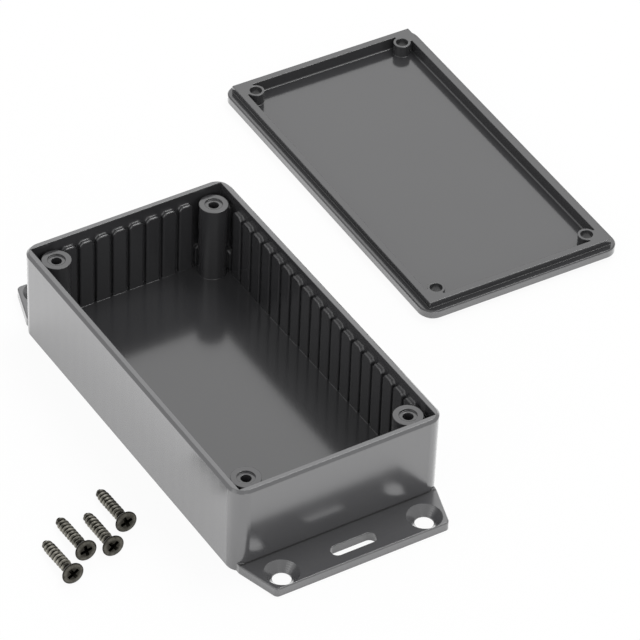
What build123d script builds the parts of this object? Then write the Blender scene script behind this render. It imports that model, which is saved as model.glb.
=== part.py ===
"""Flanged moulded project box, opened: base, inverted cover and the four cover screws.

X runs across the box, Y along it and Z up. The origin is the centre of the base's underside.
"""
import os
from math import atan2, cos, degrees, radians, sin, tan

from build123d import *

os.makedirs("parts", exist_ok=True)

# Outer form of the box, in millimetres
box_length = 112.0
box_width = 62.0
base_height = 27.0
corner_radius = 4.5
draft_angle = 0.6
wall = 2.0
floor_thickness = 2.0
rim_bevel = 0.7

# Board guide ribs that stand on the inner walls
rib_pitch = 5.08
rib_width = 4.25
rib_depth = 1.3
rib_draft = 2.0
rib_shoulder_width = 0.85
rib_shoulder_height = 1.0
rib_drop = 3.1
rib_boss_gap = 5.5
short_rib_top = 9.0
root_sink = 0.7

# Screw bosses in the corners
boss_inset = 7.0
boss_radius = 4.0
boss_drop = 1.9
recess_radius = 2.4
recess_depth = 0.45
pilot_radius = 1.4
pilot_depth = 13.0
boss_web = 1.6
web_drop = 4.5

# Mounting flanges at both ends
flange_reach = 12.0
flange_thickness = 2.6
flange_root_inset = 1.5
flange_tip_inset = 5.3
flange_corner_radius = 1.4
flange_edge_bevel = 0.25
flange_hole_inset = 9.75
flange_hole_reach = 7.0
flange_hole_radius = 2.5
flange_sink_radius = 4.7
flange_sink_angle = 90.0
slot_length = 13.4
slot_width = 3.7

# Cover, which lies upside down beside the base
cover_height = 3.5
cover_side_bevel = 1.2
cover_edge_bevel = 0.3
plate_thickness = 1.8
lip_clearance = 0.15
lip_width = 1.9
lip_gap = 0.05
tray_round = 0.4
tube_radius = 2.45
tube_seat_gap = 0.05
corner_web_overrun = 0.6
screw_clearance = 0.15
cover_gap = 33.7
cover_shift = 58.5
cover_turn = -1.1

# Cover screws, which lie on the ground beside the base
thread_radius = 1.6
screw_length = 15.3
head_radius = 3.0
head_angle = 82.0
cross_width = 0.95
cross_span = 3.8
cross_depth = 1.2
# Gap from the base's side to each head's rim, its Y, the screw's turn about Z and its own spin
screw_heads = [
    (15.4, -27.9, -1.9, 20),
    (22.7, -34.1, -2.2, 38),
    (29.5, -32.2, -1.6, 12),
    (36.5, -38.0, -0.9, 30),
]

opening_width = box_width - 2 * wall
opening_length = box_length - 2 * wall
boss_spacing_x = box_width - 2 * boss_inset
boss_spacing_y = box_length - 2 * boss_inset
boss_top = base_height - boss_drop
rib_top = base_height - rib_drop
inset_at_foot = base_height * tan(radians(draft_angle))
end_wall_foot = box_length / 2 - inset_at_foot


# Upright plane just inside a wall's thickness, looking from the wall towards the inside
rib_root = Plane(origin=(0, -root_sink, 0), x_dir=(-1, 0, 0), z_dir=(0, 1, 0))


def guide_rib(top: float) -> Part:
    """A board guide rib up to a given height, its shoulders bevelled and its sides drafted."""
    foot = floor_thickness - root_sink
    half_width = rib_width / 2
    half_top = half_width - rib_shoulder_width
    shoulder = top - rib_shoulder_height
    with BuildPart() as guide:
        with BuildSketch(rib_root):
            with BuildLine():
                Polyline(
                    (-half_width, foot),
                    (half_width, foot),
                    (half_width, shoulder),
                    (half_top, top),
                    (-half_top, top),
                    (-half_width, shoulder),
                    close=True,
                )
            make_face()
        extrude(amount=root_sink + rib_depth, taper=rib_draft)
    return guide.part


# The last rib beside each boss stays low
rib = guide_rib(rib_top)
short_rib = guide_rib(short_rib_top)


def wall_places(steps: list[float], distance: float, turn: float) -> list[Location]:
    """Places along one wall, each so many rib pitches from the wall's middle."""
    direction = radians(turn)
    places = []
    for step in steps:
        along = step * rib_pitch
        x = along * cos(direction) + distance * sin(direction)
        y = along * sin(direction) - distance * cos(direction)
        places.append(Location((x, y, 0), (0, 0, turn)))
    return places


rib_places = []
short_rib_places = []
for turn, spacing, distance in (
    (0, boss_spacing_x, opening_length / 2),
    (90, boss_spacing_y, opening_width / 2),
    (180, boss_spacing_x, opening_length / 2),
    (270, boss_spacing_y, opening_width / 2),
):
    half_count = int((spacing / 2 - rib_boss_gap) / rib_pitch + 0.5)
    rib_places += wall_places([i + 0.5 for i in range(-half_count, half_count)], distance, turn)
    short_rib_places += wall_places([-half_count - 0.5, half_count + 0.5], distance, turn)


# Mounting flange of the front end, its top edge bevelled
root_half = box_width / 2 - flange_root_inset
tip_half = box_width / 2 - flange_tip_inset
tip_y = -box_length / 2 - flange_reach
flange_hole_plane = Plane(origin=(0, -box_length / 2 - flange_hole_reach, flange_thickness))

with BuildPart() as flange:
    with BuildSketch(Plane.XY) as flange_outline:
        with BuildLine():
            Polyline(
                (-root_half, -opening_length / 2),
                (-root_half, -end_wall_foot),
                (-tip_half, tip_y),
                (tip_half, tip_y),
                (root_half, -end_wall_foot),
                (root_half, -opening_length / 2),
                close=True,
            )
        make_face()
        fillet(flange_outline.vertices().group_by(Axis.Y)[0], flange_corner_radius)
    extrude(amount=flange_thickness)
    outer_edges = flange.faces().sort_by(Axis.Z)[-1].edges().filter_by(
        lambda edge: edge.center().Y < -end_wall_foot
    )
    chamfer(outer_edges, flange_edge_bevel)
    with BuildSketch(flange_hole_plane):
        SlotOverall(slot_length, slot_width)
    extrude(amount=-flange_thickness, mode=Mode.SUBTRACT)
    with Locations(flange_hole_plane):
        with GridLocations(box_width - 2 * flange_hole_inset, 0, 2, 1):
            CounterSinkHole(
                flange_hole_radius, flange_sink_radius, flange_thickness, flange_sink_angle
            )


# Base: one moulding with its ribs, bosses and flanges
with BuildPart() as base:
    with BuildSketch(Plane.XY):
        RectangleRounded(
            box_width - 2 * inset_at_foot,
            box_length - 2 * inset_at_foot,
            corner_radius - inset_at_foot,
        )
    extrude(amount=base_height, taper=-draft_angle)
    chamfer(base.faces().sort_by(Axis.Z)[-1].edges(), rim_bevel)

    with BuildSketch(Plane.XY.offset(base_height)):
        Rectangle(opening_width, opening_length)
    extrude(amount=-(base_height - floor_thickness), taper=draft_angle, mode=Mode.SUBTRACT)

    with Locations(*rib_places):
        add(rib)
    with Locations(*short_rib_places):
        add(short_rib)
    with BuildSketch(Plane.XY.offset(floor_thickness - root_sink)):
        with GridLocations(boss_spacing_x, boss_spacing_y, 2, 2):
            Circle(boss_radius)
    extrude(amount=boss_top - floor_thickness + root_sink)
    for side in (-1, 1):
        for end in (-1, 1):
            boss_x = side * boss_spacing_x / 2
            boss_y = end * boss_spacing_y / 2
            wall_x = side * (opening_width / 2 + root_sink)
            wall_y = end * (opening_length / 2 + root_sink)
            with BuildSketch(Plane.XY.offset(floor_thickness - root_sink)):
                with Locations(((boss_x + wall_x) / 2, boss_y)):
                    Rectangle(abs(wall_x - boss_x), boss_web)
                with Locations((boss_x, (boss_y + wall_y) / 2)):
                    Rectangle(boss_web, abs(wall_y - boss_y))
            extrude(amount=base_height - web_drop - floor_thickness + root_sink)

    with Locations(Location((0, 0, 0)), Location((0, 0, 0), (0, 0, 180))):
        add(flange.part)
    with Locations(Plane.XY.offset(boss_top)):
        with GridLocations(boss_spacing_x, boss_spacing_y, 2, 2):
            CounterBoreHole(pilot_radius, recess_radius, recess_depth, depth=pilot_depth)

base.part.label = "base"
export_step(base.part, "parts/base.step")


# Cover: plate, lip and screw tubes in one moulding, its outer face on the ground
cover_plane = Plane(
    origin=(box_width + cover_gap, cover_shift, 0),
    x_dir=(cos(radians(cover_turn)), sin(radians(cover_turn)), 0),
    z_dir=(0, 0, 1),
)
cover_underside = Plane(origin=cover_plane.origin, x_dir=cover_plane.x_dir, z_dir=(0, 0, -1))
lip_outer_width = opening_width - 2 * lip_clearance
lip_outer_length = opening_length - 2 * lip_clearance
lip_inner_width = lip_outer_width - 2 * lip_width
lip_inner_length = lip_outer_length - 2 * lip_width
lip_height = boss_drop - lip_gap
lip_top = cover_height + lip_height
tube_top = cover_height + boss_drop - tube_seat_gap

with BuildPart() as cover:
    with BuildSketch(cover_plane):
        RectangleRounded(box_width, box_length, corner_radius)
    extrude(amount=cover_height)
    chamfer(cover.faces().sort_by(Axis.Z)[0].edges(), cover_side_bevel)
    chamfer(cover.faces().sort_by(Axis.Z)[-1].edges(), cover_edge_bevel)
    with BuildSketch(cover_plane.offset(cover_height - root_sink)):
        Rectangle(lip_outer_width, lip_outer_length)
    extrude(amount=lip_height + root_sink)
    with BuildSketch(cover_plane.offset(lip_top)):
        Rectangle(lip_inner_width, lip_inner_length)
    extrude(amount=-(lip_top - plate_thickness), mode=Mode.SUBTRACT)
    tray_floor = cover.faces().filter_by(Axis.Z).filter_by(
        lambda face: abs(face.center().Z - plate_thickness) < 0.01
    )
    fillet(tray_floor.edges(), tray_round)

    with BuildSketch(cover_plane.offset(plate_thickness - root_sink)):
        with GridLocations(boss_spacing_x, boss_spacing_y, 2, 2):
            Circle(tube_radius)
    extrude(amount=tube_top - plate_thickness + root_sink)
    for side in (-1, 1):
        for end in (-1, 1):
            inner_x = side * (boss_spacing_x / 2 - corner_web_overrun)
            inner_y = end * (boss_spacing_y / 2 - corner_web_overrun)
            outer_x = side * (lip_outer_width - lip_width) / 2
            outer_y = end * (lip_outer_length - lip_width) / 2
            with BuildSketch(cover_plane.offset(plate_thickness - root_sink)):
                with Locations(((inner_x + outer_x) / 2, (inner_y + outer_y) / 2)):
                    Rectangle(abs(outer_x - inner_x), abs(outer_y - inner_y))
            extrude(amount=lip_top - plate_thickness + root_sink)

    with Locations(cover_underside):
        with GridLocations(boss_spacing_x, boss_spacing_y, 2, 2):
            CounterSinkHole(
                thread_radius + screw_clearance, head_radius + screw_clearance, tube_top, head_angle
            )

cover.part.label = "cover"
export_step(cover.part, "parts/cover.step")


# One cover screw along Z, its end down and the flat of its head at the origin
head_depth = (head_radius - thread_radius) / tan(radians(head_angle / 2))

with BuildPart() as screw:
    with BuildSketch(Plane.XZ):
        with BuildLine():
            Polyline(
                (0, 0),
                (head_radius, 0),
                (thread_radius, -head_depth),
                (thread_radius, -screw_length),
                (0, -screw_length),
                close=True,
            )
        make_face()
    revolve(axis=Axis.Z)
    with BuildSketch(Plane.XY):
        Rectangle(cross_span, cross_width)
        Rectangle(cross_width, cross_span)
    extrude(amount=-cross_depth, mode=Mode.SUBTRACT)

# A lying screw touches the ground with its head's rim and the end of its shank
lie_angle = degrees(atan2(head_radius - thread_radius, screw_length))
head_centre_z = head_radius * cos(radians(lie_angle))
screw_places = [
    Location((-box_width / 2 - gap, y, head_centre_z), (0, 0, turn))
    * Location((0, 0, 0), (90 - lie_angle, 0, spin))
    for gap, y, turn, spin in screw_heads
]

with BuildPart() as cover_screws:
    with Locations(*screw_places):
        add(screw.part)

cover_screws.part.label = "cover_screws"
export_step(cover_screws.part, "parts/cover_screws.step")
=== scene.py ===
"""Studio scene of an opened, flanged plastic project box with its cover and its four cover screws.

Lengths are in metres. X runs across the box, Y along it and Z up, from the middle of the base's underside.
"""

import logging
from dataclasses import dataclass, field
from enum import Enum
from math import atan2, cos, pi, radians, sin, tan

import bmesh
import bpy
from mathutils import Matrix, Vector


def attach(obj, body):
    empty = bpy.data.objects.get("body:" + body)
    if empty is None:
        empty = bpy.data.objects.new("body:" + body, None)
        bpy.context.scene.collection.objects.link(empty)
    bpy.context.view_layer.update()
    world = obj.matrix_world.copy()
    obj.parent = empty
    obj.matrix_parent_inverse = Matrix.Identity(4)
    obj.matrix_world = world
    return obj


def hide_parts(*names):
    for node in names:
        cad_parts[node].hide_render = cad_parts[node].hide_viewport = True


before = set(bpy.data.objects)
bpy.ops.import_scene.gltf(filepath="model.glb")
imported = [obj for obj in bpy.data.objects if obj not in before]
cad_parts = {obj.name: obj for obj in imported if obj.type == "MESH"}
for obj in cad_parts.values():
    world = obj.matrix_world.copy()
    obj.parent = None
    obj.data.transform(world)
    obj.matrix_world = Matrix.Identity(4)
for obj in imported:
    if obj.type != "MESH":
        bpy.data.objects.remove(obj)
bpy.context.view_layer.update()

MILLIMETRE = 0.001
FRAME_PIXELS = 640
BODY = "root"

# A Mix node has sockets for every data type, so those for colours are taken by number
MIX_COLOUR_INPUTS = (0, 6, 7)
MIX_COLOUR_RESULT = 2

Colour = tuple[float, float, float, float]

log = logging.getLogger("project_box")


class SurfaceSide(Enum):
    """Which moulding a plastic finish is for, because each has its own marks."""

    BASE = "base"
    COVER = "cover"


class NodeGraph:
    """A node tree, with short calls that add a node and join its sockets."""

    def __init__(self, tree: bpy.types.NodeTree) -> None:
        """Take up a tree.

        Args:
            tree: The tree that the nodes go into.
        """
        self.tree = tree

    def add(self, kind: str, settings: dict | None = None, **inputs: object) -> bpy.types.Node:
        """Add a node, set its properties, and set or join its inputs.

        Args:
            kind: The node's type name.
            settings: Properties of the node itself, by name.
            **inputs: Input values or output sockets, by input name with _ for a space.

        Returns:
            The new node.
        """
        node = self.tree.nodes.new(kind)
        for key, value in (settings or {}).items():
            setattr(node, key, value)
        for key, value in inputs.items():
            self.feed(node.inputs[key.replace("_", " ")], value)
        return node

    def feed(self, socket: bpy.types.NodeSocket, value: object) -> None:
        """Set an input socket, or join it to an output socket."""
        if isinstance(value, bpy.types.NodeSocket):
            self.tree.links.new(value, socket)
        else:
            socket.default_value = value

    def math(self, operation: str, *values: object) -> bpy.types.NodeSocket:
        """Add a Math node.

        Args:
            operation: The node's operation, such as MULTIPLY.
            *values: Its numbers or sockets, in order.

        Returns:
            The result socket.
        """
        node = self.tree.nodes.new("ShaderNodeMath")
        node.operation = operation
        for socket, value in zip(node.inputs, values):
            self.feed(socket, value)
        return node.outputs[0]

    def axes(self, place: bpy.types.NodeSocket) -> bpy.types.NodeOutputs:
        """Split a vector into its three coordinates."""
        return self.add("ShaderNodeSeparateXYZ", Vector=place).outputs


class ShaderGraph(NodeGraph):
    """A material's node tree."""

    def __init__(self, name: str) -> None:
        """Start an empty material.

        Args:
            name: The material's name.
        """
        self.material = bpy.data.materials.new(name)
        self.material.use_nodes = True
        super().__init__(self.material.node_tree)
        self.tree.nodes.clear()

    def ramp(self, value: object, span: tuple[float, float], result: tuple[float, float]) -> bpy.types.NodeSocket:
        """Map a value smoothly from one range to another, held at both ends.

        Args:
            value: The socket that is mapped.
            span: The values that give the two results.
            result: The results at the span's two ends.

        Returns:
            The result socket.
        """
        node = self.tree.nodes.new("ShaderNodeMapRange")
        node.interpolation_type = "SMOOTHSTEP"
        for socket, number in zip(node.inputs, (value, *span, *result)):
            self.feed(socket, number)
        return node.outputs[0]

    def between(self, coordinate: bpy.types.NodeSocket, span: tuple[float, float]) -> bpy.types.NodeSocket:
        """Tell where a coordinate, taken without its sign, lies between two values.

        Args:
            coordinate: The coordinate.
            span: The lower and the upper value.

        Returns:
            One between the values and zero elsewhere.
        """
        size = self.math("ABSOLUTE", coordinate)
        over = self.math("GREATER_THAN", size, span[0])
        return self.math("MULTIPLY", over, self.math("LESS_THAN", size, span[1]))

    def mix(self, share: object, first: object, second: object, blend: str = "MIX") -> bpy.types.NodeSocket:
        """Mix two colours.

        Args:
            share: How much of the second colour there is.
            first: The first colour, or its socket.
            second: The second colour, or its socket.
            blend: How they are mixed, such as MULTIPLY.

        Returns:
            The mixed colour.
        """
        node = self.add("ShaderNodeMix", {"data_type": "RGBA", "blend_type": blend})
        for index, value in zip(MIX_COLOUR_INPUTS, (share, first, second)):
            self.feed(node.inputs[index], value)
        return node.outputs[MIX_COLOUR_RESULT]

    def noise(self, vector: bpy.types.NodeSocket, scale: float, detail: float = 2.0) -> bpy.types.NodeSocket:
        """Add a Noise Texture on a vector and return its value, about 0.5 on average."""
        node = self.add("ShaderNodeTexNoise", Vector=vector, Scale=scale, Detail=detail)
        return node.outputs[0]

    def bump(self, height: object, depth: float, strength: float, base: object = None) -> bpy.types.NodeSocket:
        """Add a Bump node.

        Args:
            height: The height socket.
            depth: How far a height of one stands out, in metres.
            strength: The share of the bump that shows.
            base: A normal from an earlier bump, if there is one.

        Returns:
            The bumped normal.
        """
        node = self.add("ShaderNodeBump", Height=height, Distance=depth, Strength=strength)
        if base is not None:
            self.feed(node.inputs["Normal"], base)
        return node.outputs[0]

    def finish(self, shader: bpy.types.NodeSocket) -> bpy.types.Material:
        """Join the shader to the output and return the material."""
        output = self.tree.nodes.new("ShaderNodeOutputMaterial")
        self.tree.links.new(shader, output.inputs["Surface"])
        return self.material


class GeometryGraph(NodeGraph):
    """A Geometry Nodes tree."""

    def __init__(self, name: str) -> None:
        """Start an empty tree with one geometry output.

        Args:
            name: The tree's name.
        """
        super().__init__(bpy.data.node_groups.new(name, "GeometryNodeTree"))
        self.tree.interface.new_socket(name="Geometry", in_out="OUTPUT", socket_type="NodeSocketGeometry")
        self.entry = self.tree.nodes.new("NodeGroupInput")
        self.values: dict[str, object] = {}

    def input(self, name: str, kind: str, value: object = None) -> bpy.types.NodeSocket:
        """Add a named input.

        Args:
            name: The input's name.
            kind: The socket's type name.
            value: The value that the modifier gets.

        Returns:
            The socket inside the tree.
        """
        item = self.tree.interface.new_socket(name=name, in_out="INPUT", socket_type=kind)
        if value is not None:
            self.values[item.identifier] = value
        return self.entry.outputs[name]

    def position(self) -> bpy.types.NodeOutputs:
        """Give the three coordinates of the point that a value is worked out for."""
        return self.axes(self.add("GeometryNodeInputPosition").outputs[0])

    def finish(self, geometry: bpy.types.NodeSocket) -> None:
        """Join the last geometry to the tree's output."""
        output = self.tree.nodes.new("NodeGroupOutput")
        self.tree.links.new(geometry, output.inputs[0])

    def put_on(self, piece: bpy.types.Object) -> None:
        """Add the tree to an object as a modifier and set its inputs."""
        modifier = piece.modifiers.new(self.tree.name, "NODES")
        modifier.node_group = self.tree
        for identifier, value in self.values.items():
            modifier[identifier] = value


@dataclass(frozen=True)
class MouldedPlastic:
    """Dark grey moulded ABS, finely textured outside and polished inside its walls; its colour is lighter outside and
    darker inside, partly as painted light and shade.
    """

    name: str
    side: SurfaceSide
    centre: tuple[float, float, float] = (0.0, 0.0, 0.0)
    turn: float = 0.0
    polished_x: float = 29.1 * MILLIMETRE
    polished_y: float = 54.1 * MILLIMETRE
    polished_z: float = 1.7 * MILLIMETRE
    all_polished_z: float = 1.0
    # The outside's lighter colour is partly its texture and partly painted light; the inside's darker colour is
    # partly its polish and partly painted shade
    textured_lit_colour: Colour = (0.068, 0.068, 0.071, 1.0)
    polished_shaded_colour: Colour = (0.036, 0.036, 0.038, 1.0)
    textured_roughness: float = 0.20
    polished_roughness: float = 0.14
    textured_specular: float = 0.85
    polished_specular: float = 0.62
    refraction: float = 1.54
    edge_radius: float = 0.3 * MILLIMETRE
    edge_samples: int = 8
    rib_zone: tuple[float, float] = (3.0 * MILLIMETRE, 24.2 * MILLIMETRE)
    rib_radius: float = 0.9 * MILLIMETRE
    crease_y: tuple[float, float] = (55.5 * MILLIMETRE, 56.1 * MILLIMETRE)
    crease_z: tuple[float, float] = (2.5 * MILLIMETRE, 2.95 * MILLIMETRE)
    # Share of the colour taken away in the flange's crease, as painted shade
    crease_painted_shade: float = 0.85
    crease_roughness: float = 0.4
    grain_scale: float = 2400.0
    grain_depth: float = 0.012 * MILLIMETRE
    grain_strength: float = 0.35
    flow_scale: float = 38.0
    flow_detail: float = 3.0
    flow_span: tuple[float, float] = (0.2, 0.8)
    flow_tint: tuple[float, float] = (0.97, 1.03)
    flow_roughness: float = 0.01
    wall_x: float = 29.8 * MILLIMETRE
    wall_y: float = 54.8 * MILLIMETRE
    rib_pitch: float = 5.08 * MILLIMETRE
    sink_depth: float = 0.005 * MILLIMETRE
    sink_strength: float = 0.6
    hole_x: float = 21.25 * MILLIMETRE
    hole_y: float = 63.0 * MILLIMETRE
    sink_radius: float = 4.7 * MILLIMETRE
    ring_pitch: float = 0.42 * MILLIMETRE
    ring_depth: float = 0.006 * MILLIMETRE
    ring_strength: float = 0.7

    def build(self) -> bpy.types.Material:
        """Build the material.

        Returns:
            A satin plastic with a fine grain, soft flow marks and the moulding's own marks.
        """
        graph = ShaderGraph(self.name)
        place = graph.add("ShaderNodeTexCoord").outputs["Object"]
        flow = graph.noise(place, self.flow_scale, self.flow_detail)
        polish = self.add_polish(graph, place)
        radius, crease = self.add_edges(graph, place, polish)
        rounded = graph.add("ShaderNodeBevel", {"samples": self.edge_samples}, Radius=radius).outputs[0]
        grain = graph.noise(place, self.grain_scale)
        normal = graph.bump(grain, self.grain_depth, self.grain_strength, rounded)
        if self.side is SurfaceSide.BASE:
            normal = self.add_sink_marks(graph, place, normal)
            normal = self.add_tool_rings(graph, place, normal)
        sheen = self.polished_specular - self.textured_specular
        shader = graph.add(
            "ShaderNodeBsdfPrincipled",
            Base_Color=self.add_colour(graph, flow, polish, crease),
            Roughness=self.add_roughness(graph, flow, polish, crease),
            IOR=self.refraction,
            Specular_IOR_Level=graph.math("MULTIPLY_ADD", polish, sheen, self.textured_specular),
            Normal=normal,
        )
        return graph.finish(shader.outputs[0])

    def add_edges(
        self, graph: ShaderGraph, place: bpy.types.NodeSocket, polish: bpy.types.NodeSocket
    ) -> tuple[object, object]:
        """Find how round the edges look, and where a flange meets the wall in a sharp crease.

        Args:
            graph: The material's graph.
            place: The object coordinates.
            polish: One where the plastic is polished.

        Returns:
            The edges' radius, and one in the crease and zero elsewhere.
        """
        if self.side is SurfaceSide.COVER:
            return self.edge_radius, 0.0
        axes = graph.axes(place)
        ribs = graph.math("MULTIPLY", graph.between(axes[2], self.rib_zone), polish)
        radius = graph.math("MULTIPLY_ADD", ribs, self.rib_radius - self.edge_radius, self.edge_radius)
        at_wall = graph.between(axes[1], self.crease_y)
        crease = graph.math("MULTIPLY", at_wall, graph.between(axes[2], self.crease_z))
        return graph.math("MULTIPLY", radius, graph.math("SUBTRACT", 1.0, crease)), crease

    def add_colour(self, graph: ShaderGraph, flow: object, polish: object, crease: object) -> bpy.types.NodeSocket:
        """Colour the plastic.

        Args:
            graph: The material's graph.
            flow: The flow marks' value.
            polish: One where the plastic is polished.
            crease: One in the flange's crease.

        Returns:
            The colour, streaked by the flow and darkened in the crease as painted shade.
        """
        streaks = graph.ramp(flow, self.flow_span, self.flow_tint)
        # Painted shade: the colour is darkened in the flange's crease, where shade falls
        shade = graph.math("MULTIPLY", streaks, graph.math("MULTIPLY_ADD", crease, -self.crease_painted_shade, 1.0))
        # Painted light and shade: the textured outside gets the lighter colour, the polished inside the darker one
        plastic = graph.mix(polish, self.textured_lit_colour, self.polished_shaded_colour)
        return graph.mix(1.0, plastic, shade, "MULTIPLY")

    def add_roughness(self, graph: ShaderGraph, flow: object, polish: object, crease: object) -> bpy.types.NodeSocket:
        """Set the plastic's roughness.

        Args:
            graph: The material's graph.
            flow: The flow marks' value.
            polish: One where the plastic is polished.
            crease: One in the flange's crease.

        Returns:
            The roughness, lower where the plastic is polished and higher in the crease.
        """
        textured = self.textured_roughness
        texture = graph.ramp(flow, self.flow_span, (textured - self.flow_roughness, textured + self.flow_roughness))
        rough = graph.math("MULTIPLY_ADD", polish, self.polished_roughness - textured, texture)
        return graph.math("MULTIPLY_ADD", crease, self.crease_roughness, rough)

    def add_polish(self, graph: ShaderGraph, place: bpy.types.NodeSocket) -> bpy.types.NodeSocket:
        """Tell the polished inside from the textured outside.

        Args:
            graph: The material's graph.
            place: The object coordinates.

        Returns:
            One inside the walls and above the height where all is polished, and zero elsewhere.
        """
        centred = graph.add(
            "ShaderNodeMapping",
            {"vector_type": "TEXTURE"},
            Vector=place,
            Location=self.centre,
            Rotation=(0.0, 0.0, self.turn),
        )
        axes = graph.axes(centred.outputs[0])
        across = graph.math("LESS_THAN", graph.math("ABSOLUTE", axes[0]), self.polished_x)
        along = graph.math("LESS_THAN", graph.math("ABSOLUTE", axes[1]), self.polished_y)
        above = graph.math("GREATER_THAN", axes[2], self.polished_z)
        inside = graph.math("MULTIPLY", graph.math("MULTIPLY", across, along), above)
        return graph.math("MAXIMUM", inside, graph.math("GREATER_THAN", axes[2], self.all_polished_z))

    def add_sink_marks(
        self, graph: ShaderGraph, place: bpy.types.NodeSocket, normal: bpy.types.NodeSocket
    ) -> bpy.types.NodeSocket:
        """Add the faint hollows that show outside a wall opposite each inner rib.

        Args:
            graph: The material's graph.
            place: The object coordinates.
            normal: The normal that the marks are added to.

        Returns:
            The new normal.
        """
        axes = graph.axes(place)
        turns = 2 * pi / self.rib_pitch
        long_wave = graph.math("COSINE", graph.math("MULTIPLY_ADD", axes[1], turns, pi))
        short_wave = graph.math("COSINE", graph.math("MULTIPLY_ADD", axes[0], turns, pi))
        on_side = graph.math("GREATER_THAN", graph.math("ABSOLUTE", axes[0]), self.wall_x)
        on_end = graph.math("GREATER_THAN", graph.math("ABSOLUTE", axes[1]), self.wall_y)
        height = graph.math(
            "ADD", graph.math("MULTIPLY", long_wave, on_side), graph.math("MULTIPLY", short_wave, on_end)
        )
        return graph.bump(height, self.sink_depth, self.sink_strength, normal)

    def add_tool_rings(
        self, graph: ShaderGraph, place: bpy.types.NodeSocket, normal: bpy.types.NodeSocket
    ) -> bpy.types.NodeSocket:
        """Add the turned rings that the mould's pins leave in the flange countersinks.

        Args:
            graph: The material's graph.
            place: The object coordinates.
            normal: The normal that the rings are added to.

        Returns:
            The new normal.
        """
        axes = graph.axes(place)
        across = graph.math("SUBTRACT", graph.math("ABSOLUTE", axes[0]), self.hole_x)
        along = graph.math("SUBTRACT", graph.math("ABSOLUTE", axes[1]), self.hole_y)
        squares = graph.math("MULTIPLY_ADD", along, along, graph.math("MULTIPLY", across, across))
        radius = graph.math("SQRT", squares)
        inside = graph.math("LESS_THAN", radius, self.sink_radius)
        rings = graph.math("SINE", graph.math("MULTIPLY", radius, 2 * pi / self.ring_pitch))
        return graph.bump(graph.math("MULTIPLY", rings, inside), self.ring_depth, self.ring_strength, normal)


@dataclass(frozen=True)
class BronzedSteel:
    """Dark, oiled steel with a brown cast, brighter on the thread's crests, partly as scuffing and partly as painted
    highlight.
    """

    name: str = "bronzed_screw_steel"
    colour: Colour = (0.017, 0.016, 0.013, 1.0)
    worn_highlight_colour: Colour = (0.27, 0.26, 0.225, 1.0)
    roughness: float = 0.34
    smoother: float = 0.06
    rougher: float = 0.1
    mottle_scale: float = 900.0
    mottle_detail: float = 3.0
    worn_highlight_span: tuple[float, float] = (0.35, 0.65)
    worn_highlight_share: tuple[float, float] = (0.35, 1.0)
    rough_span: tuple[float, float] = (0.3, 0.7)
    grain_scale: float = 5200.0
    grain_depth: float = 0.01 * MILLIMETRE
    grain_strength: float = 0.4
    wear_highlight_attribute: str = "wear"

    def build(self) -> bpy.types.Material:
        """Build the material.

        Returns:
            A dark metal that is brighter along the thread's crests, partly as scuffing and partly as painted
            highlight, and in a ring on the head as painted highlight.
        """
        graph = ShaderGraph(self.name)
        place = graph.add("ShaderNodeTexCoord").outputs["Object"]
        mottle = graph.noise(place, self.mottle_scale, self.mottle_detail)
        grain = graph.noise(place, self.grain_scale)
        wear = graph.add("ShaderNodeAttribute", {"attribute_name": self.wear_highlight_attribute}).outputs["Fac"]
        # Painted highlight, partly scuffing: the colour lightens where the attribute is high
        share = graph.math("MULTIPLY", wear, graph.ramp(mottle, self.worn_highlight_span, self.worn_highlight_share))
        rough = (self.roughness - self.smoother, self.roughness + self.rougher)
        shader = graph.add(
            "ShaderNodeBsdfPrincipled",
            Base_Color=graph.mix(share, self.colour, self.worn_highlight_colour),
            Roughness=graph.ramp(mottle, self.rough_span, rough),
            Metallic=1.0,
            Normal=graph.bump(grain, self.grain_depth, self.grain_strength),
        )
        return graph.finish(shader.outputs[0])


def dress(node_name: str, material: bpy.types.Material) -> None:
    """Put a material on every slot of a CAD node.

    Args:
        node_name: The node's name.
        material: The material that it gets.
    """
    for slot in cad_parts[node_name].material_slots:
        slot.material = material
    log.info("%s is dressed in %s", node_name, material.name)


def mesh_object(name: str, mesh: bpy.types.Mesh) -> bpy.types.Object:
    """Make an object of a mesh at the origin and link it to the scene."""
    piece = bpy.data.objects.new(name, mesh)
    bpy.context.scene.collection.objects.link(piece)
    return piece


def baked_mesh(piece: bpy.types.Object, name: str) -> bpy.types.Mesh:
    """Turn an object with its modifiers into a plain mesh, and remove the object.

    Args:
        piece: The object with its modifiers.
        name: The new mesh's name.

    Returns:
        The plain mesh.
    """
    graph = bpy.context.evaluated_depsgraph_get()
    mesh = bpy.data.meshes.new_from_object(piece.evaluated_get(graph))
    mesh.name = name
    piece.modifiers.clear()
    bpy.data.objects.remove(piece)
    return mesh


def crisp_edges(mesh: bpy.types.Mesh, angle: float) -> None:
    """Shade a mesh smooth, apart from the edges that turn by more than an angle.

    Args:
        mesh: The mesh.
        angle: The least turn of a sharp edge, in radians.
    """
    form = bmesh.new()
    form.from_mesh(mesh)
    for face in form.faces:
        face.smooth = True
    for edge in form.edges:
        edge.smooth = len(edge.link_faces) == 2 and edge.calc_face_angle(0.0) < angle
    form.to_mesh(mesh)
    form.free()


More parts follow.
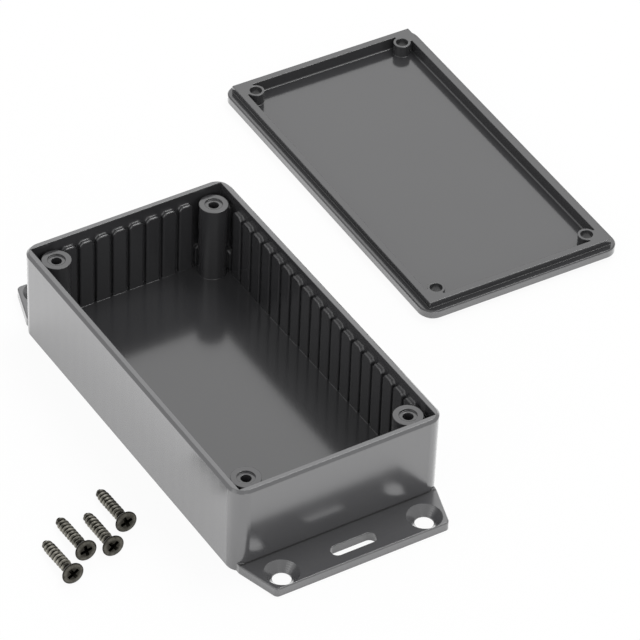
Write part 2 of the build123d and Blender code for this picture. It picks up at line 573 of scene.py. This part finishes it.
def turned_mesh(name: str, outline: list[tuple[float, float]], sides: int) -> bpy.types.Mesh:
    """Turn an outline about Z into a closed mesh with a single point at both ends.

    Args:
        name: The mesh's name.
        outline: Radius and height of each point, from top to bottom, both ends on the axis.
        sides: How many sides the round has.

    Returns:
        The mesh, with its faces outwards.
    """
    form = bmesh.new()
    top = form.verts.new((0, 0, outline[0][1]))
    bottom = form.verts.new((0, 0, outline[-1][1]))
    rings = []
    for radius, height in outline[1:-1]:
        ring = []
        for side in range(sides):
            turn = 2 * pi * side / sides
            ring.append(form.verts.new((radius * cos(turn), radius * sin(turn), height)))
        rings.append(ring)
    for side in range(sides):
        after = (side + 1) % sides
        form.faces.new((top, rings[0][side], rings[0][after]))
        form.faces.new((bottom, rings[-1][after], rings[-1][side]))
        for upper, lower in zip(rings, rings[1:]):
            form.faces.new((upper[side], lower[side], lower[after], upper[after]))
    bmesh.ops.recalc_face_normals(form, faces=form.faces)
    mesh = bpy.data.meshes.new(name)
    form.to_mesh(mesh)
    form.free()
    return mesh


@dataclass
class Base:
    """The box's base: one moulding with ribs, bosses and mounting flanges."""

    node: str = "base"
    finish: MouldedPlastic = MouldedPlastic("base_satin_plastic", SurfaceSide.BASE)

    def dress(self) -> None:
        """Dress the moulding."""
        dress(self.node, self.finish.build())


@dataclass
class Cover:
    """The box's cover, which lies upside down beside the base."""

    node: str = "cover"
    finish: MouldedPlastic = MouldedPlastic(
        "cover_satin_plastic",
        SurfaceSide.COVER,
        centre=(95.7 * MILLIMETRE, 58.5 * MILLIMETRE, 0.0),
        turn=radians(-1.1),
        polished_x=27.0 * MILLIMETRE,
        polished_y=52.0 * MILLIMETRE,
        all_polished_z=3.3 * MILLIMETRE,
    )

    def dress(self) -> None:
        """Dress the moulding."""
        dress(self.node, self.finish.build())


@dataclass(frozen=True)
class ScrewPlace:
    """Where one screw lies: the middle of its head's rim, and its turn about Z and own spin in degrees."""

    x: float
    y: float
    turn: float
    spin: float


@dataclass
class CoverScrews:
    """Four countersunk screws that lie on the ground, made once and repeated."""

    node: str = "cover_screws"
    slot: str = "screw_steel"
    finish: BronzedSteel = BronzedSteel()
    places: list[ScrewPlace] = field(
        default_factory=lambda: [
            ScrewPlace(-0.0464, -0.0279, -1.9, 20),
            ScrewPlace(-0.0537, -0.0341, -2.2, 38),
            ScrewPlace(-0.0605, -0.0322, -1.6, 12),
            ScrewPlace(-0.0675, -0.0380, -0.9, 30),
        ]
    )
    sides: int = 48
    head_radius: float = 3.0 * MILLIMETRE
    head_rim: float = 0.3 * MILLIMETRE
    head_crown: float = 0.2 * MILLIMETRE
    head_half_angle: float = radians(41)
    screw_length: float = 15.3 * MILLIMETRE
    crest_radius: float = 1.6 * MILLIMETRE
    root_radius: float = 1.1 * MILLIMETRE
    tip_length: float = 2.8 * MILLIMETRE
    tip_radius: float = 0.8 * MILLIMETRE
    thread_pitch: float = 1.35 * MILLIMETRE
    thread_foot: float = 0.92 * MILLIMETRE
    thread_land: float = 0.14 * MILLIMETRE
    thread_points: int = 30
    thread_overlap: float = 0.2 * MILLIMETRE
    thread_stop: float = 0.25 * MILLIMETRE
    thread_sunk: float = 0.4
    tip_share: float = 0.45
    tip_growth: float = 9.0
    head_fade: float = 14.0
    least_thread: float = 0.05
    cross_span: float = 3.8 * MILLIMETRE
    cross_width: float = 1.05 * MILLIMETRE
    cross_depth: float = 1.5 * MILLIMETRE
    cross_rise: float = 0.3
    cross_foot: float = 0.5
    edge: float = 0.08 * MILLIMETRE
    crown_rings: int = 10
    sharp_angle: float = radians(38)
    # Where the crests are lightened, partly as scuffing and partly as painted highlight
    crest_wear_highlight_start: float = 0.74
    crest_wear_highlight_gain: float = 4.0
    crest_wear_highlight_depth: float = 2.2 * MILLIMETRE
    # A lighter ring on the head's face, which is painted highlight
    ring_share: float = 0.78
    ring_painted_highlight: float = 0.26
    ring_fall: float = 0.3 / MILLIMETRE

    def build(self) -> None:
        """Build the four screws as one piece that stands for the CAD screws."""
        blank = mesh_object("screw_blank", self.blank_mesh())
        places = self.place_points()
        self.repeat(blank, places)
        mesh = baked_mesh(blank, "cover_screws_threaded")
        bpy.data.objects.remove(places)
        crisp_edges(mesh, self.sharp_angle)
        piece = mesh_object("cover_screws_threaded", mesh)
        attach(piece, BODY)
        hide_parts(self.node)
        log.info("cover screws: %d, with %d faces", len(self.places), len(mesh.polygons))

    def shank_end(self) -> float:
        """Distance from the head's rim to where the tip starts to narrow."""
        return self.screw_length - self.tip_length

    def neck_depth(self) -> float:
        """Distance from the head's rim to where its cone meets the shank."""
        return self.head_rim + (self.head_radius - self.root_radius) / tan(self.head_half_angle)

    def blank_mesh(self) -> bpy.types.Mesh:
        """Turn the screw without its thread, and cut the cross recess in its head.

        Returns:
            The blank along Z, its tip down and the head's rim at the origin.
        """
        edge = self.edge
        end = -self.screw_length
        outline = [(0.0, self.head_crown)]
        for step in range(1, self.crown_rings):
            share = step / self.crown_rings
            outline.append((self.head_radius * share, self.head_crown * (1 - share**2)))
        outline += [
            (self.head_radius - edge, 0.0),
            (self.head_radius, -edge),
            (self.head_radius, -self.head_rim + edge),
            (self.head_radius - edge, -self.head_rim - edge),
            (self.root_radius + edge, -self.neck_depth() + edge),
            (self.root_radius, -self.neck_depth() - 2 * edge),
            (self.root_radius, -self.shank_end()),
            (self.tip_radius, end + 3 * edge),
            (self.tip_radius - 2 * edge, end + edge),
            (self.tip_radius - 5 * edge, end),
            (0.0, end),
        ]
        body = mesh_object("screw_body", turned_mesh("screw_body", outline, self.sides))
        cutter = mesh_object("cross_cutter", self.cross_mesh())
        cut = body.modifiers.new("cross", "BOOLEAN")
        cut.operation = "DIFFERENCE"
        cut.solver = "EXACT"
        cut.object = cutter
        mesh = baked_mesh(body, "screw_blank")
        bpy.data.objects.remove(cutter)
        return mesh

    def cross_mesh(self) -> bpy.types.Mesh:
        """Make the tapered cross that cuts the driver recess.

        Returns:
            A closed cross that narrows downwards.
        """
        span, width = self.cross_span / 2, self.cross_width / 2
        corners = [(span, width), (width, width), (width, span), (-width, span), (-width, width), (-span, width)]
        corners += [(-x, -y) for x, y in corners]
        form = bmesh.new()
        rings = []
        top = self.head_crown + self.cross_depth * self.cross_rise
        for height, share in ((top, 1.0), (-self.cross_depth, self.cross_foot)):
            rings.append([form.verts.new((x * share, y * share, height)) for x, y in corners])
        form.faces.new(rings[0])
        form.faces.new(list(reversed(rings[1])))
        for index in range(len(corners)):
            after = (index + 1) % len(corners)
            form.faces.new((rings[0][index], rings[1][index], rings[1][after], rings[0][after]))
        bmesh.ops.recalc_face_normals(form, faces=form.faces)
        mesh = bpy.data.meshes.new("cross_cutter")
        form.to_mesh(mesh)
        form.free()
        return mesh

    def place_points(self) -> bpy.types.Object:
        """Make one point for each screw, with the screw's turn kept on it.

        Returns:
            An object of points. Each lying screw touches the ground with its head and the end of its shank.
        """
        lie = atan2(self.head_radius - self.crest_radius, self.shank_end() - self.head_rim)
        height = self.head_radius * cos(lie) + self.head_rim * sin(lie)
        mesh = bpy.data.meshes.new("screw_places")
        mesh.from_pydata([(place.x, place.y, height) for place in self.places], [], [])
        turns = mesh.attributes.new("screw_turn", "QUATERNION", "POINT")
        for value, place in zip(turns.data, self.places):
            turn = Matrix.Rotation(radians(place.turn), 3, "Z")
            tilt = Matrix.Rotation(pi / 2 - lie, 3, "X")
            spin = Matrix.Rotation(radians(place.spin), 3, "Z")
            value.value = (turn @ tilt @ spin).to_quaternion()
        return mesh_object("screw_places", mesh)

    def repeat(self, blank: bpy.types.Object, places: bpy.types.Object) -> None:
        """Add the nodes that wind the thread on the blank and repeat the screw at each place.

        Args:
            blank: The screw without its thread.
            places: The points with the screws' turns.
        """
        tree = GeometryGraph("threaded_screws")
        body = tree.input("Blank", "NodeSocketGeometry")
        spots = tree.input("Places", "NodeSocketObject", places)
        steel = tree.input("Steel", "NodeSocketMaterial", self.finish.build())
        sizes = {name: tree.input(name, "NodeSocketFloat", size) for name, size in self.thread_sizes().items()}
        thread = tree.add(
            "GeometryNodeCurveToMesh",
            Curve=self.add_winding(tree, sizes),
            Profile_Curve=self.add_profile(tree, sizes),
            Scale=self.add_run_out(tree),
            Fill_Caps=True,
        ).outputs[0]
        screw = tree.add("GeometryNodeJoinGeometry")
        tree.feed(screw.inputs[0], thread)
        tree.feed(screw.inputs[0], body)
        worn_and_highlighted = self.add_wear_and_highlights(tree, screw.outputs[0], sizes["Crest Radius"])
        points = tree.add("GeometryNodeObjectInfo", Object=spots).outputs["Geometry"]
        turn = tree.add("GeometryNodeInputNamedAttribute", {"data_type": "QUATERNION"}, Name="screw_turn")
        copies = tree.add(
            "GeometryNodeInstanceOnPoints", Points=points, Instance=worn_and_highlighted, Rotation=turn.outputs[0]
        ).outputs[0]
        real = tree.add("GeometryNodeRealizeInstances", Geometry=copies).outputs[0]
        tree.finish(tree.add("GeometryNodeSetMaterial", Geometry=real, Material=steel).outputs[0])
        tree.put_on(blank)

    def thread_sizes(self) -> dict[str, float]:
        """Give the thread's sizes, by the names of the tree's inputs."""
        start = self.thread_overlap - self.neck_depth()
        end = self.thread_stop - self.screw_length
        return {
            "Thread Length": start - end,
            "Thread Pitch": self.thread_pitch,
            "Root Radius": self.root_radius,
            "Crest Radius": self.crest_radius,
            "Tip Radius": self.tip_radius,
            "Tip Length": self.tip_length,
            "Thread Foot": self.thread_foot,
            "Thread Land": self.thread_land,
            "Thread End": end,
        }

    def add_winding(self, tree: GeometryGraph, sizes: dict[str, bpy.types.NodeSocket]) -> bpy.types.NodeSocket:
        """Wind the thread's path round the shank.

        Args:
            tree: The tree.
            sizes: The thread's sizes, by name.

        Returns:
            The path, which narrows with the tip.
        """
        length, root, tip = sizes["Thread Length"], sizes["Root Radius"], sizes["Tip Radius"]
        spiral = tree.add(
            "GeometryNodeCurveSpiral",
            Resolution=self.thread_points,
            Rotations=tree.math("DIVIDE", length, sizes["Thread Pitch"]),
            Start_Radius=1.0,
            End_Radius=1.0,
            Height=length,
        )
        axes = tree.position()
        narrow = tree.math("MINIMUM", tree.math("DIVIDE", axes[2], sizes["Tip Length"]), 1.0)
        radius = tree.math("MULTIPLY_ADD", narrow, tree.math("SUBTRACT", root, tip), tip)
        winding = tree.add(
            "ShaderNodeCombineXYZ",
            X=tree.math("MULTIPLY", axes[0], radius),
            Y=tree.math("MULTIPLY", axes[1], radius),
            Z=tree.math("ADD", axes[2], sizes["Thread End"]),
        ).outputs[0]
        path = tree.add("GeometryNodeSetPosition", Geometry=spiral.outputs[0], Position=winding).outputs[0]
        return tree.add("GeometryNodeSetCurveNormal", {"mode": "Z_UP"}, Curve=path).outputs[0]

    def add_profile(self, tree: GeometryGraph, sizes: dict[str, bpy.types.NodeSocket]) -> bpy.types.NodeSocket:
        """Draw the thread's profile, its foot sunk in the shank.

        Args:
            tree: The tree.
            sizes: The thread's sizes, by name.

        Returns:
            The profile. Its X axis points inwards, so the crest lies on its negative side.
        """
        crest_side = tree.math("SUBTRACT", sizes["Root Radius"], sizes["Crest Radius"])
        sunk = tree.math("MULTIPLY", crest_side, -self.thread_sunk)
        half_foot = tree.math("MULTIPLY", sizes["Thread Foot"], 0.5)
        half_land = tree.math("MULTIPLY", sizes["Thread Land"], 0.5)
        corners = (
            (sunk, tree.math("MULTIPLY", half_foot, -1.0)),
            (sunk, half_foot),
            (crest_side, half_land),
            (crest_side, tree.math("MULTIPLY", half_land, -1.0)),
        )
        profile = tree.add("GeometryNodeCurvePrimitiveQuadrilateral", {"mode": "POINTS"})
        for index, (out, along) in enumerate(corners, 1):
            corner = tree.add("ShaderNodeCombineXYZ", X=out, Y=along).outputs[0]
            tree.feed(profile.inputs[f"Point {index}"], corner)
        return profile.outputs[0]

    def add_run_out(self, tree: GeometryGraph) -> bpy.types.NodeSocket:
        """Let the thread grow from the tip and fade under the head.

        Args:
            tree: The tree.

        Returns:
            The profile's scale along the path.
        """
        share = tree.add("GeometryNodeSplineParameter").outputs["Factor"]
        rise = tree.math("MINIMUM", tree.math("MULTIPLY_ADD", share, self.tip_growth, self.tip_share), 1.0)
        left = tree.math("SUBTRACT", 1.0, share)
        fade = tree.math("MINIMUM", tree.math("MULTIPLY", left, self.head_fade), 1.0)
        return tree.math("MAXIMUM", tree.math("MULTIPLY", rise, fade), self.least_thread)

    def add_wear_and_highlights(
        self, tree: GeometryGraph, screw: bpy.types.NodeSocket, crest: bpy.types.NodeSocket
    ) -> bpy.types.NodeSocket:
        """Keep on each point how much it is lightened, from 0 to 1: the thread's crests, partly scuffing and partly
        painted highlight, and a ring on the head, which is painted highlight.

        Args:
            tree: The tree.
            screw: The screw.
            crest: The crest radius.

        Returns:
            The screw with the attribute.
        """
        axes = tree.position()
        squares = tree.math("MULTIPLY_ADD", axes[1], axes[1], tree.math("MULTIPLY", axes[0], axes[0]))
        radius = tree.math("SQRT", squares)
        share = tree.math("DIVIDE", radius, crest)
        # The crests are lightened, partly as scuffing and partly as painted highlight
        crests = tree.math("MULTIPLY", tree.math("SUBTRACT", share, self.crest_wear_highlight_start), self.crest_wear_highlight_gain)
        below_head = tree.math("LESS_THAN", axes[2], -self.crest_wear_highlight_depth)
        # Painted highlight: a lighter ring on the head's face
        off_ring = tree.math("ABSOLUTE", tree.math("SUBTRACT", radius, self.ring_share * self.head_radius))
        ring = tree.math("SUBTRACT", self.ring_painted_highlight, tree.math("MULTIPLY", off_ring, self.ring_fall))
        on_face = tree.math("GREATER_THAN", axes[2], 0.0)
        rubbed_and_highlighted = tree.math("MULTIPLY_ADD", ring, on_face, tree.math("MULTIPLY", crests, below_head))
        return tree.add(
            "GeometryNodeStoreNamedAttribute",
            {"domain": "POINT"},
            Geometry=screw,
            Name=self.finish.wear_highlight_attribute,
            Value=tree.math("MINIMUM", tree.math("MAXIMUM", rubbed_and_highlighted, 0.0), 1.0),
        ).outputs[0]


@dataclass(frozen=True)
class Softbox:
    """A square studio lamp that points at the object, placed by two angles in degrees."""

    name: str
    azimuth: float
    elevation: float
    distance: float
    size: float
    radiance: float

    def build(self, target: Vector) -> None:
        """Hang the lamp.

        Args:
            target: The point that it faces.
        """
        lamp = bpy.data.lights.new(self.name, "AREA")
        lamp.shape = "SQUARE"
        lamp.size = self.size
        lamp.energy = self.radiance * pi * self.size**2
        holder = bpy.data.objects.new(self.name, lamp)
        bpy.context.scene.collection.objects.link(holder)
        turn, rise = radians(self.azimuth), radians(self.elevation)
        towards = Vector((sin(turn) * cos(rise), -cos(turn) * cos(rise), sin(rise)))
        holder.location = target + towards * self.distance
        holder.rotation_mode = "QUATERNION"
        holder.rotation_quaternion = towards.to_track_quat("Z", "Y")


@dataclass(frozen=True)
class StudioCamera:
    """A long-lens camera above the front left corner."""

    eye: tuple[float, float, float] = (-0.5136775, -0.8415088, 0.8651914)
    azimuth: float = radians(-32.7544)
    elevation: float = radians(40.2172)
    roll: float = radians(2.2688)
    focal_pixels: float = 5000.0
    sensor: float = 36.0
    clip: tuple[float, float] = (0.05, 20.0)

    def build(self) -> None:
        """Set up the camera and make it the scene's."""
        a, e, r = self.azimuth, self.elevation, self.roll
        back = Vector((sin(a) * cos(e), -cos(a) * cos(e), sin(e)))
        level = Vector((cos(a), sin(a), 0.0))
        upright = back.cross(level)
        right = level * cos(r) + upright * sin(r)
        up = upright * cos(r) - level * sin(r)
        data = bpy.data.cameras.new("studio_camera")
        data.sensor_width = self.sensor
        data.lens = self.focal_pixels / FRAME_PIXELS * self.sensor
        data.clip_start, data.clip_end = self.clip
        camera = bpy.data.objects.new("studio_camera", data)
        bpy.context.scene.collection.objects.link(camera)
        camera.matrix_world = Matrix.Translation(self.eye) @ Matrix((right, up, back)).transposed().to_4x4()
        bpy.context.scene.camera = camera


@dataclass
class Studio:
    """A pale floor, a soft surrounding light, softboxes and the camera."""

    floor_size: float = 6.0
    floor_drop: float = 0.02 * MILLIMETRE
    floor_colour: Colour = (0.80, 0.80, 0.80, 1.0)
    white_share: float = 0.93
    ambient: float = 0.75
    target: tuple[float, float, float] = (0.02, 0.02, 0.01)
    camera: StudioCamera = StudioCamera()
    lamps: list[Softbox] = field(
        default_factory=lambda: [
            Softbox("back_softbox", 148.6, 41.0, 1.6, 1.25, 0.9),
            Softbox("top_softbox", 100.0, 66.0, 1.6, 0.6, 7.5),
            Softbox("left_softbox", -80.0, 24.0, 1.5, 0.9, 1.4),
            Softbox("front_softbox", -10.0, 22.0, 1.8, 0.8, 2.5),
        ]
    )

    def build(self) -> None:
        """Build the whole studio."""
        self.set_world()
        self.lay_floor()
        for lamp in self.lamps:
            lamp.build(Vector(self.target))
        self.camera.build()
        bpy.context.scene.view_settings.view_transform = "Standard"
        log.info("studio: %d lamps", len(self.lamps))

    def set_world(self) -> None:
        """Make the surroundings white to the camera and to reflections, and plain light elsewhere."""
        world = bpy.data.worlds.new("studio_world")
        bpy.context.scene.world = world
        world.use_nodes = True
        graph = NodeGraph(world.node_tree)
        graph.tree.nodes.clear()
        path = graph.add("ShaderNodeLightPath").outputs
        either = graph.math("MAXIMUM", path["Is Camera Ray"], path["Is Glossy Ray"])
        seen = graph.math("MAXIMUM", either, path["Is Transmission Ray"])
        level = graph.add("ShaderNodeMapRange", Value=seen, To_Min=self.ambient, To_Max=1.0).outputs[0]
        background = graph.add("ShaderNodeBackground", Color=(1.0, 1.0, 1.0, 1.0), Strength=level).outputs[0]
        graph.add("ShaderNodeOutputWorld", Surface=background)

    def floor_material(self) -> bpy.types.Material:
        """Make a pale matt floor that is white to the camera and to reflections, and keeps a soft shadow."""
        graph = ShaderGraph("studio_floor")
        path = graph.add("ShaderNodeLightPath").outputs
        matt = graph.add("ShaderNodeBsdfDiffuse", Color=self.floor_colour).outputs[0]
        white = graph.add("ShaderNodeEmission", Strength=1.0).outputs[0]
        seen = graph.add("ShaderNodeMixShader")
        graph.feed(seen.inputs[0], graph.math("MULTIPLY", path["Is Camera Ray"], self.white_share))
        graph.feed(seen.inputs[1], matt)
        graph.feed(seen.inputs[2], white)
        mirrored = graph.math("MAXIMUM", path["Is Glossy Ray"], path["Is Transmission Ray"])
        glow = graph.add("ShaderNodeEmission", Strength=mirrored).outputs[0]
        total = graph.add("ShaderNodeAddShader")
        graph.feed(total.inputs[0], seen.outputs[0])
        graph.feed(total.inputs[1], glow)
        return graph.finish(total.outputs[0])

    def lay_floor(self) -> None:
        """Lay the floor just under the object."""
        half = self.floor_size / 2
        mesh = bpy.data.meshes.new("floor")
        corners = [(-half, -half), (half, -half), (half, half), (-half, half)]
        mesh.from_pydata([(x, y, -self.floor_drop) for x, y in corners], [], [(0, 1, 2, 3)])
        floor = mesh_object("floor", mesh)
        mesh.materials.append(self.floor_material())


def main() -> None:
    """Build the studio, dress the mouldings and make the screws."""
    logging.basicConfig(level=logging.INFO, format="%(name)s: %(message)s")
    Studio().build()
    Base().dress()
    Cover().dress()
    CoverScrews().build()


if __name__ == "__main__":
    main()
